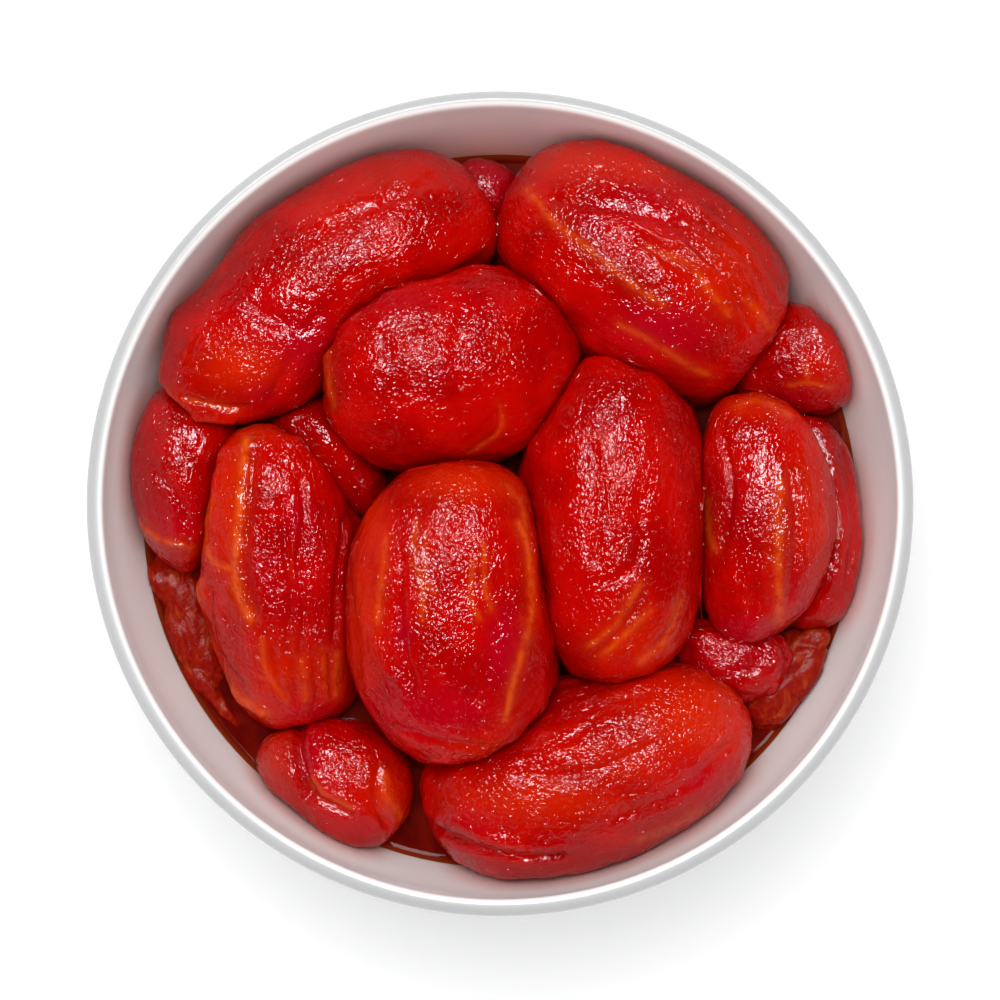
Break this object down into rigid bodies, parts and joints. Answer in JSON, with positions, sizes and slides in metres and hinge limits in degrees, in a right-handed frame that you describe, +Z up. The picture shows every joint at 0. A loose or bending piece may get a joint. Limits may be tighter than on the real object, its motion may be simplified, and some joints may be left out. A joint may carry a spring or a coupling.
{
  "type": "bowl of peeled plum tomatoes",
  "caption": "Plain white round bowl heaped with whole peeled plum tomatoes lying in their juice.",
  "frame": {"origin": "middle of the bowl's foot, on the surface that it stands on", "axes": "+Z up out of the bowl, +X to the right and +Y to the back of the pictured view"},
  "size_m": [0.17, 0.17, 0.0764],
  "materials": {
    "white_glaze": "gloss",
    "tomato_flesh": "wet, glossy peeled flesh",
    "juice": "thick, glossy tomato juice",
    "pulp": "wet, fibrous pulp"
  },
  "bodies": {
    "root": {"bowl": "white_glaze", "juice": "juice", "tomato_back_left": "tomato_flesh", "tomato_back_right": "tomato_flesh", "tomato_middle": "tomato_flesh", "tomato_front_middle": "tomato_flesh", "tomato_middle_right": "tomato_flesh", "tomato_right": "tomato_flesh", "tomato_left": "tomato_flesh", "tomato_front": "tomato_flesh", "tomato_far_right": "tomato_flesh", "tomato_far_left": "tomato_flesh", "tomato_front_left": "tomato_flesh", "tomato_tucked_left": "tomato_flesh", "tomato_end_right": "tomato_flesh", "tomato_end_back": "tomato_flesh", "torn_end_right": "tomato_flesh", "pulp_left": "pulp", "pulp_right": "pulp"}
  },
  "joints": []
}
